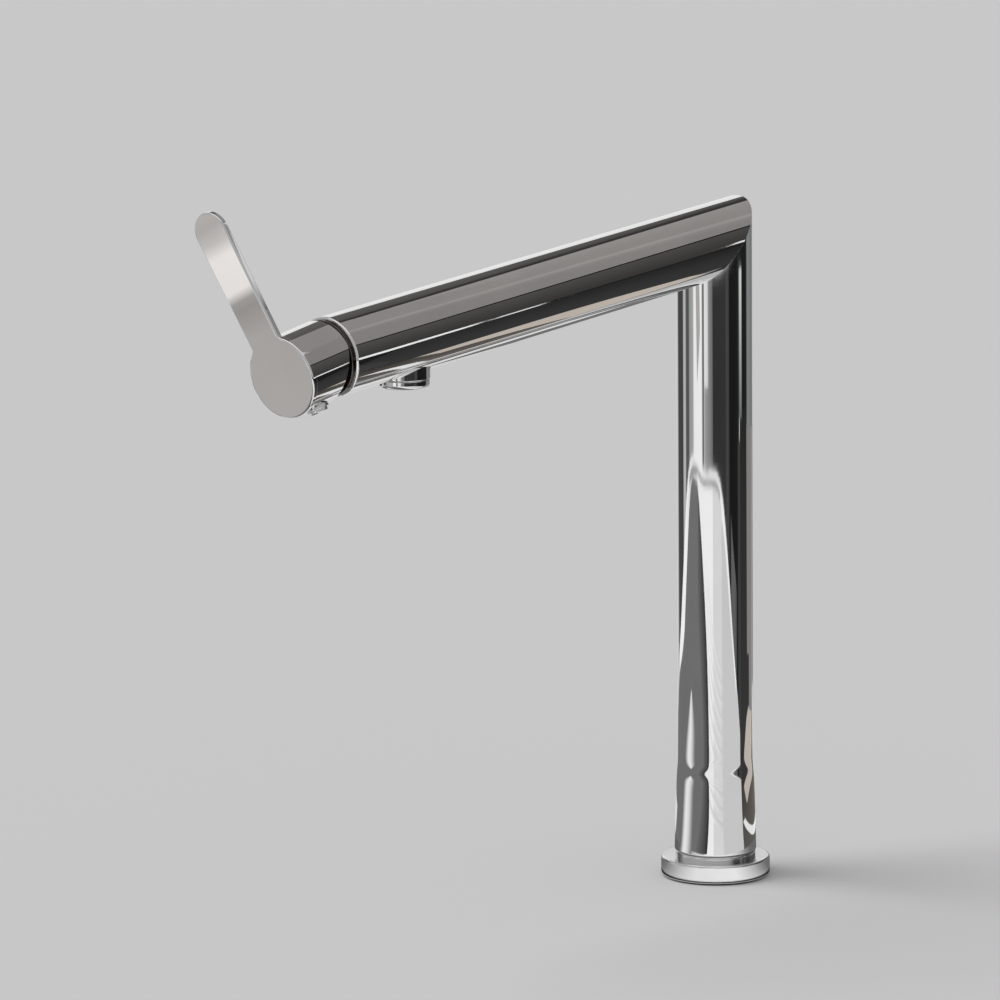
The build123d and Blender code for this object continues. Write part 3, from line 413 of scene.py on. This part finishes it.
camera = bpy.data.objects.new("camera", bpy.data.cameras.new("camera"))
bpy.context.scene.collection.objects.link(camera)
camera.data.sensor_width = sensor
camera.data.lens = lens_share * sensor
camera.data.clip_end = 100
camera.matrix_world = Matrix.Translation(camera_place) @ camera_turn
bpy.context.scene.camera = camera
bpy.context.scene.view_settings.view_transform = "Standard"
print(f"camera {camera_place.length:.2f} m away, lens {camera.data.lens:.0f} mm")

# %% [markdown]
# ## The studio
#
# The floor is plain and pale. What the chrome shows comes from boards that stand and lie around
# the object, as a photographer sets them: pale ones for the broad bright bands, dark ones for
# the dark bands between. The camera doesn't see them, they cast no shadow and light nothing; only
# reflections find them.
#
# A place is given by its compass angle round the column, 0 towards the arm's free end and 90 to
# the right of it, and by its distance from the column. Each board keeps its tone in an attribute
# of its points, so that one board can fade from dark to light.

# %% The boards' glow
glow = bpy.data.materials.new("board_glow")
glow.use_nodes = True
glow_tree = glow.node_tree
glow_tree.nodes.remove(glow_tree.nodes["Principled BSDF"])
tone_reader = glow_tree.nodes.new("ShaderNodeVertexColor")
tone_reader.layer_name = "tone"
emitter = glow_tree.nodes.new("ShaderNodeEmission")
glow_tree.links.new(tone_reader.outputs["Color"], emitter.inputs["Color"])
glow_tree.links.new(emitter.outputs["Emission"],
                    glow_tree.nodes["Material Output"].inputs["Surface"])
neutral, sepia, warm, cool = (1, 1, 1), (1.0, 0.955, 0.92), (1.0, 0.90, 0.79), (0.96, 0.99, 1.0)

# %% A board
boards = []


def board(name, points, light, tint=neutral):
    """A sheet of the studio from a grid of points; light is one brightness, or one per point."""
    rows, columns = points.shape[:2]
    row, place = np.meshgrid(np.arange(rows - 1), np.arange(columns - 1), indexing="ij")
    first = row * columns + place
    quads = np.stack([first, first + 1, first + columns + 1, first + columns], axis=-1)
    mesh = bpy.data.meshes.new(name)
    mesh.from_pydata(points.reshape(-1, 3).tolist(), [], quads.reshape(-1, 4).tolist())
    tones = np.ones((rows, columns, 4))
    tones[..., :3] = np.broadcast_to(light, (rows, columns))[..., None] * np.array(tint)
    store = mesh.color_attributes.new("tone", "FLOAT_COLOR", "POINT")
    store.data.foreach_set("color", tones.ravel())
    mesh.materials.append(glow)
    sheet = bpy.data.objects.new(name, mesh)
    bpy.context.scene.collection.objects.link(sheet)
    sheet.visible_camera = False
    sheet.visible_diffuse = False
    sheet.visible_transmission = False
    sheet.visible_shadow = False
    boards.append(sheet)
    return sheet


def around(azimuth, distance, height):
    """Points at x = d sin a, y = -d cos a, z = height; the three are broadcast together."""
    azimuth, distance, height = np.broadcast_arrays(np.radians(azimuth), distance, height)
    return np.stack([distance * np.sin(azimuth), -distance * np.cos(azimuth), height], axis=-1)


# %% [markdown]
# ## Two kinds of board
#
# A wall stands on a line that goes part of the way round the column. A flat board fills the way
# between two lines on the floor. Flat boards lie a few tenths of a millimetre above one another:
# their lift says how high, and a higher one hides what it covers.

# %% Walls and flat boards
def wall(name, stops, low, high, distance, tint=neutral, fade=1.0):
    """A standing board. Stops are (azimuth, light) pairs; light runs evenly from each to the next.

    The distance is one number or a function of the azimuth, and the top, high, is one number or a
    function of that distance. The light at the top is fade times the light at the foot.
    """
    ends, lights = zip(*stops)
    azimuth = np.unique(np.concatenate([np.arange(ends[0], ends[-1], 1.0), ends]))
    reach = distance(azimuth) if callable(distance) else np.full(len(azimuth), distance)
    top = high(reach) if callable(high) else np.full(len(azimuth), high)
    points = around(azimuth[None, :], reach[None, :], np.stack([np.full(len(azimuth), low), top]))
    return board(name, points, np.interp(azimuth, ends, lights) * np.array([[1.0], [fade]]), tint)


def between(name, first, second, light, lift, tint=neutral):
    """A flat board between two lines of (azimuth, distance) points, as smooth as they are dense.

    Row k lies at share k of the way from the first line to the second. A tuple of lights is
    spread evenly over that way.
    """
    share = np.linspace(0, 1, 13)[:, None]
    lines = [around(*np.array(line, float).T, lift) for line in (first, second)]
    points = lines[0][None] * (1 - share[..., None]) + lines[1][None] * share[..., None]
    if isinstance(light, tuple):
        light = np.interp(share, np.linspace(0, 1, len(light)), light)
    return board(name, points, light, tint)


def arc(azimuths, distance):
    """A line of (azimuth, distance) points that keeps one distance."""
    return [(azimuth, distance) for azimuth in azimuths]


def ring_board(name, start, end, near, far, light, lift, tint=neutral):
    """A flat board over the azimuths from start to end, between two distances."""
    azimuths = range(start, end + 1)
    return between(name, arc(azimuths, near), arc(azimuths, far), light, lift, tint)


# %% [markdown]
# ## The pale board
#
# The large pale board in front has a curved outer edge, and that edge is the arch in the column's
# lower half. A level ray off the column at height h comes down at about five times h from it.
# The board is built up of sectors: a bright rim, a thin grey line inside it, and the pale middle.

# %% The pale board
edge_stops = ((-112, 0.46), (-84, 0.66), (-74, 0.78), (-64, 0.94), (-54, 1.12), (-44, 1.24),
              (-30, 1.30), (-15, 1.30), (4, 1.24), (44, 1.24), (54, 1.21), (63, 1.15),
              (73, 1.02), (83, 0.85), (93, 0.69), (102, 0.56), (112, 0.46), (122, 0.32))
boards_from = 0.09                        # flat boards begin at this distance from the column


def pale_edge(azimuth):
    """The edge's distance: the average of the straight-sided outline over 12 degrees."""
    reach = np.linspace(-6, 6, 13)[:, None]
    return np.interp(np.atleast_1d(azimuth)[None, :] + reach, *zip(*edge_stops)).mean(axis=0)


def sector(name, start, end, light, lift, outer=0.0):
    """A flat board that ends at the pale edge less outer, a number or one for each degree."""
    azimuth = np.arange(start, end + 0.5, 1.0)
    reach = np.stack([np.full(len(azimuth), boards_from), pale_edge(azimuth) - outer])
    return board(name, around(azimuth[None, :], reach, lift), light)


sector("rim", -95, 107, 1.08, 0.0003)
sector("rim_line", -42, 57, 0.33, 0.0005, outer=0.045)
sector("rim_inside", -50, 4, 0.95, 0.0006, outer=0.09)
sector("pale_front", -14, 35, 1.05, 0.0007, outer=0.075)
sector("pale_right", 35, 61, 0.82, 0.0007, outer=0.075)
far_right = np.arange(61, 120.5, 1.0)
sector("pale_far_right", 61, 120, 0.70, 0.0007,
       outer=np.interp(far_right, (61, 73, 90, 107, 108), (0.11, 0.10, 0.08, 0.05, 0.0)))
print(len(boards), "boards")

# %% [markdown]
# ## On the pale board
#
# Nine narrow stripes lie side by side on it and make the fine slanting marks in the column's
# bright band. A darker board lies at the left of them and makes the dark arch inside the light
# one, and a bright gleam runs through that. Their outlines are drawn as a few corners, given as
# x and y on the floor, and the corners are then cut off again and again until the line is round.

# %% Lines on the floor
def rounded(corners, rounds=4):
    """Cuts an open line's corners: each side keeps its points at a quarter and three quarters."""
    points = np.array(corners, float)
    for _ in range(rounds):
        before, after = points[:-1], points[1:]
        middle = np.stack([0.75 * before + 0.25 * after, 0.25 * before + 0.75 * after], axis=1)
        points = np.concatenate([points[:1], middle.reshape(-1, 2), points[-1:]])
    return points


def polar(corners):
    """(x, y) pairs as (azimuth, distance) pairs."""
    x, y = np.array(corners, float).T
    return np.stack([np.degrees(np.arctan2(x, -y)), np.hypot(x, y)], axis=-1)


# %% The stripes
stripe_count, stripe_way = 9, np.array((0.377, 0.926))
stripe_start, stripe_gap = np.array((0.467, -0.298)), np.array((-0.0417, 0.017))
stripe_length, stripe_shorter, stripe_tail = 0.619, 0.0594, 0.10
stripe_width = (-0.020, 0.008)
stripe_light = np.array([1.0, 0.94, 0.84, 0.70]) + np.linspace(-1, 1, 13)[:, None] * np.array(
    [0.20, 0.22, 0.16, 0.0])
for number in range(stripe_count):
    near = stripe_start + number * stripe_gap
    far = near - (stripe_length - stripe_shorter * number) * stripe_way
    side = np.array([far, 0.5 * (far + near), near, near + stripe_tail * stripe_way])
    between(f"stripe_{number}", polar(side), polar(side + stripe_width), stripe_light, 0.0009)
print(len(boards), "boards")

# %% The dark board and the gleam
dark_left = polar([(-0.07, 0.045), (-0.45, 0.15), (-0.545, -0.22), (-0.64, -0.39),
                   (-0.71, -0.615), (-0.72, -0.86), (-0.62, -1.03), (-0.40, -1.12)])
dark_middle = polar([(-0.02, -0.09), (0.0, -0.20), (0.03, -0.33), (0.01, -0.44), (-0.07, -0.58),
                     (-0.19, -0.77), (-0.21, -0.98), (-0.26, -1.15)])
dark_right = polar([(0.03, -0.09), (0.08, -0.19), (0.115, -0.29), (0.15, -0.41), (0.165, -0.56),
                    (0.14, -0.70), (0.04, -0.91), (-0.14, -1.09)])
gleam_left = [(-66, 0.075), (-65, 0.14), (-63, 0.26), (-60, 0.32), (-51, 0.38), (-38, 0.47)]
gleam_right = [(-24, 0.075), (-25, 0.14), (-25, 0.26), (-22, 0.33), (-23, 0.39), (-34, 0.47)]

between("dark_board", rounded(dark_left), rounded(dark_middle), 0.19, 0.0010)
between("dark_board_shade", rounded(dark_middle), rounded(dark_right), (0.17, 0.03), 0.0010)
between("gleam", rounded(gleam_left), rounded(gleam_right),
        (0.20, 0.60, 1.0, 0.95, 0.75, 0.42, 0.18), 0.0013)
print(len(boards), "boards")

# %% [markdown]
# ## Flat boards at the sides and behind
#
# The left ones fill the column's left edge. At the right and behind, dark boards make the black
# band beside the bright one, and a few lighter pieces are what the arm's underside mirrors.

# %% Left, right and back
left = np.arange(-150, -94)
near_left = np.stack([left, np.interp(left, (-150, -128, -112, -95), (0.09, 0.12, 0.40, 0.48))],
                     axis=-1)
between("light_left", near_left, arc(left, 1.5), 0.70, 0.0002)
between("dim_left", arc(left, 0.06), near_left, (0.16, 0.30), 0.0002)
ring_board("dim_right", 114, 125, boards_from, 1.36, 0.055, 0.0005)
ring_board("black_right", 124, 165, boards_from, 1.6, (0.05, 0.022), 0.0004)
ring_board("warm_edge", 154, 166, 0.57, 1.42, 0.27, 0.0005, sepia)
ring_board("warm_back", 165, 189, boards_from, 1.42, 0.27, 0.0003, sepia)
ring_board("lighter_back", 189, 195, boards_from, 1.42, 0.48, 0.0003)
ring_board("cool_back", 195, 225, boards_from, 1.42, 0.18, 0.0003)
print(len(boards), "boards")

# %% Near the column, behind
between("near_back", polar([(0.30, 0.05), (0.30, 0.14), (0.20, 0.22)]),
        polar([(-0.08, 0.05), (-0.10, 0.25), (-0.10, 0.40)]), (0.03, 0.18), 0.0006, warm)
between("under_tip", polar([(0.137, 0.088), (0.07, 0.10), (-0.054, 0.103)]),
        polar([(0.13, 0.11), (0.07, 0.122), (-0.05, 0.13)]), 0.95, 0.0014)
between("warm_strip", polar(rounded([(0.20, 0.17), (0.21, 0.25), (0.205, 0.34), (0.13, 0.40)])),
        polar(rounded([(0.13, 0.16), (0.10, 0.22), (-0.03, 0.29), (-0.03, 0.40)])),
        0.60, 0.0009, warm)
between("underside_line", polar([(-0.09, 0.03), (-0.09, 0.25), (-0.09, 0.45)]),
        polar([(-0.17, 0.03), (-0.17, 0.25), (-0.17, 0.45)]), 0.85, 0.0012)
print(len(boards), "boards")

# %% [markdown]
# ## Round the flange
#
# The lowest part of the column mirrors the floor right beside the flange. Boards paint that floor
# there: bright in front and dim behind, with a painted shadow under the flange's rim.

# %% Beside the flange
flange_tones = ((-150, 0.12), (-80, 0.14), (-58, 0.22), (-40, 0.40), (-20, 0.62), (10, 0.95),
                (70, 1.0), (95, 0.70), (120, 0.35), (140, 0.18), (210, 0.14))
flange_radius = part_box("base_flange")[1].x
shadow_from, shadow_to = flange_radius + 0.0005, flange_radius + 0.0035
flange_way = np.arange(-150, 211, 3.0)
between("beside_flange", arc(flange_way, shadow_to), arc(flange_way, boards_from),
        np.interp(flange_way, *zip(*flange_tones))[None, :], 0.0012)
# A dark ring board: a painted shadow under the flange's rim, seen only in reflections.
between("flange_shadow", arc(flange_way, shadow_from), arc(flange_way, shadow_to), 0.03, 0.0012)
print(len(boards), "boards")

# %% [markdown]
# ## The standing boards
#
# The front ones stand on the pale board's edge and are only as high as the column's upper half
# needs: the rounded edges lower down see the light grey surround above and behind them. The far
# ones, behind, are for the arm, which mirrors a ring of places from the right over the top to
# the left. Where two walls stand in one direction, the nearer one hides the other.

# %% Walls in front
front_tones = [(-112, 0.74), (-104, 0.62), (-96, 0.075), (-69, 0.062), (-66, 0.50), (-57, 0.58),
               (-54, 0.12), (-43, 0.10), (-40, 0.36), (-27, 0.44), (-23, 1.02), (2, 1.05),
               (5, 0.20), (9, 0.16), (11, 0.95), (20, 0.85), (24, 0.30), (35, 0.17),
               (37, 0.036), (74, 0.04), (78, 0.075), (85, 0.06), (87, 0.012), (114, 0.014)]


def front_top(distance):
    """The front wall's top, which comes down with distance as the mirrored ray does."""
    return 0.33 - 0.155 * distance


def inside_edge(azimuth):
    """A line 1 cm inside the pale board's edge."""
    return pale_edge(azimuth) - 0.01


wall("front", front_tones, 0, front_top, pale_edge)
wall("front_low", [(11, 0.42), (24, 0.28)], 0, 0.06, inside_edge)
wall("front_foot", [(90, 0.10), (94, 0.14), (104, 0.14), (110, 0.06)], 0, 0.06, inside_edge)
wall("surround", [(-112, 0.48), (120, 0.48)], 0, 2.2, 1.37)
wall("dark_gap", [(112, 0.02), (121, 0.035)], 0, 0.32, 1.36)
print(len(boards), "boards")

# %% Walls at the right and behind
wall("bright_right", [(119.5, 0.03), (122, 0.14), (129, 0.21), (132, 0.13)], 0, 0.114, 1.45,
     fade=4)
wall("low_back", [(155, 0.16), (163, 0.27), (178, 0.24), (189, 0.19), (195, 0.20), (200, 0.27),
                  (224, 0.34)], 0, 0.30, 1.4, cool)
wall("black_low", [(120, 0.016), (164, 0.016)], 0, 0.255, 1.5)
wall("dark_back", [(120, 0.055), (140, 0.045), (164, 0.045), (205, 0.06)], 0.25, 0.98, 1.5,
     sepia, fade=1.9)
wall("dark_line", [(120, 0.012), (164, 0.012)], 0.955, 1.02, 1.49)
wall("grey_back", [(120, 0.27), (146, 0.28), (152, 0.31), (155, 0.37), (158, 0.37), (161, 0.31),
                   (180, 0.32), (202, 0.35)], 0.98, 2.2, 1.5, sepia)
wall("thin_line", [(126.5, 1.1), (130.9, 1.1)], 0.20, 0.25, 1.42)
wall("corner_line", [(138.25, 1.0), (139.2, 1.0)], 0.29, 0.35, 1.42)
wall("thin_line_end", [(131.4, 0.9), (132.9, 0.9)], 0.205, 0.245, 1.42)
print(len(boards), "boards")

# %% Walls at the left, and the ceiling over the arm
wall("light_low", [(-158, 0.70), (-112, 0.70)], 0, 0.36, 1.5)
wall("white_left", [(-158, 0.92), (-112, 0.92)], 0.36, 1.10, 1.5)
wall("brown_left", [(-158, 0.045), (-152, 0.045), (-147, 0.10), (-112, 0.16)], 1.10, 2.2, 1.5,
     sepia)
ceiling_way = np.arange(112, 249, 4.0)
between("ceiling", arc(ceiling_way, 0.02), arc(ceiling_way, 1.5), 0.31, 2.2, sepia)
print(len(boards), "boards")

# %% [markdown]
# ## Two cards beside the lever
#
# The lever's plate is flat, so it mirrors one small patch of the room, and its narrow side mirrors
# another. A card is held 10 cm off each, along the direction in which the camera's ray leaves that
# face. The plate card's tones run along the lever: grey for the disc, light in the middle of the
# blade. The plate leans a little against the arm's axis, so its direction is read from its own
# widest face.

# %% The plate's direction
pivot, side_normal = (Vector(joints["lever_lift"][key]) for key in ("pos_m", "axis"))
blade = Vector(joints["disc_slide"]["axis"])
plate = nodes["lever_plate"].data
areas, normals = np.empty(len(plate.polygons)), np.empty(3 * len(plate.polygons))
plate.polygons.foreach_get("area", areas)
plate.polygons.foreach_get("normal", normals)
normals = normals.reshape(-1, 3)
widest = int(np.argmax(areas * (normals @ np.array(arm_direction) > 0.9)))
plate_normal = Vector(normals[widest])
plate_out = ((plate.polygons[widest].center - pivot).dot(plate_normal)
             / arm_direction.dot(plate_normal))
print(f"the plate leans {np.degrees(arm_direction.angle(plate_normal)):.2f} degrees, "
      f"its middle {plate_out * 1000:.1f} mm from the pivot")

# %% Cards for the lever
card_away = 0.10
side_out, blade_half_width = 0.036, 0.009


def card(name, start, normal, stops, half_width, tint=neutral):
    """A card along the blade, moved away along 2 (n . v) n - v, where v points to the camera.

    Stops are (distance along the blade from start, light) pairs.
    """
    towards = (camera_place - start).normalized()
    mirror = 2 * normal.dot(towards) * normal - towards
    sideways = mirror.cross(blade).normalized()
    along, lights = (np.array(values) for values in zip(*stops))
    middle = np.array(start + mirror * card_away) + along[None, :, None] * np.array(blade)
    points = middle + np.array([-half_width, half_width])[:, None, None] * np.array(sideways)
    return board(name, points, lights[None, :], tint)


card("plate_card", pivot + arm_direction * plate_out, plate_normal,
     [(-0.05, 0.50), (0.02, 0.47), (0.034, 0.37), (0.038, 0.42), (0.043, 0.98), (0.061, 1.0),
      (0.068, 0.66), (0.076, 0.52), (0.10, 0.64)], 0.045, sepia)
card("side_card", pivot + arm_direction * side_out + side_normal * blade_half_width, side_normal,
     [(0.028, 0.16), (0.044, 0.75), (0.092, 0.9)], 0.003)
print(len(boards), "boards and cards in all")

# %% [markdown]
# ## Floor and light
#
# The floor is painted on its upper side only. Seen from below it isn't there, so the fixings under
# the deck can be looked at. One wide sun gives the soft shadow, and it lights the floor evenly.
# The world is white where the camera or a reflection looks at it, and fills the shadows less
# brightly than that.

# %% Floor
floor_size, floor_grey = 60, 0.60
bpy.ops.mesh.primitive_plane_add(size=floor_size)
floor = bpy.context.object
floor.name = "floor"
paint = bpy.data.materials.new("floor_paint")
paint.use_nodes = True
floor_tree = paint.node_tree
shader = floor_tree.nodes["Principled BSDF"]
shader.inputs["Base Color"].default_value = (floor_grey, floor_grey, floor_grey, 1)
shader.inputs["Roughness"].default_value = 1.0
shader.inputs["Specular IOR Level"].default_value = 0.0
face = floor_tree.nodes.new("ShaderNodeNewGeometry")
clear = floor_tree.nodes.new("ShaderNodeBsdfTransparent")
choice = floor_tree.nodes.new("ShaderNodeMixShader")
floor_tree.links.new(face.outputs["Backfacing"], choice.inputs["Fac"])
floor_tree.links.new(shader.outputs["BSDF"], choice.inputs[1])
floor_tree.links.new(clear.outputs["BSDF"], choice.inputs[2])
floor_tree.links.new(choice.outputs["Shader"],
                     floor_tree.nodes["Material Output"].inputs["Surface"])
floor.data.materials.append(paint)
print(f"floor of {floor_size} m, grey {floor_grey}")

# %% World
fill_light, seen_light = 0.6, 1.0
world = bpy.data.worlds.new("world")
bpy.context.scene.world = world
world.use_nodes = True
sky_tree = world.node_tree
sky = sky_tree.nodes["Background"]
sky.inputs["Color"].default_value = (1, 1, 1, 1)


def either(first, second):
    """The larger of two outputs in the world's tree."""
    larger = sky_tree.nodes.new("ShaderNodeMath")
    larger.operation = "MAXIMUM"
    sky_tree.links.new(first, larger.inputs[0])
    sky_tree.links.new(second, larger.inputs[1])
    return larger.outputs[0]


rays = sky_tree.nodes.new("ShaderNodeLightPath").outputs
seen = either(either(rays["Is Camera Ray"], rays["Is Glossy Ray"]), rays["Is Transmission Ray"])
strength = sky_tree.nodes.new("ShaderNodeMapRange")
strength.inputs["To Min"].default_value = fill_light
strength.inputs["To Max"].default_value = seen_light
sky_tree.links.new(seen, strength.inputs["Value"])
sky_tree.links.new(strength.outputs["Result"], sky.inputs["Strength"])
print(f"world {fill_light} as light, {seen_light} where it is seen")

# %% Sun
sun_power, sun_width, sun_way = 1.4, 35, Vector((0.55, 0.45, -1.0))
sun = bpy.data.objects.new("sun", bpy.data.lights.new("sun", "SUN"))
bpy.context.scene.collection.objects.link(sun)
sun.data.energy = sun_power
sun.data.angle = radians(sun_width)
sun.rotation_euler = sun_way.to_track_quat("-Z", "Y").to_euler()
sun.visible_glossy = False
print(f"sun {sun_power} W/m2, {sun_width} degrees wide")
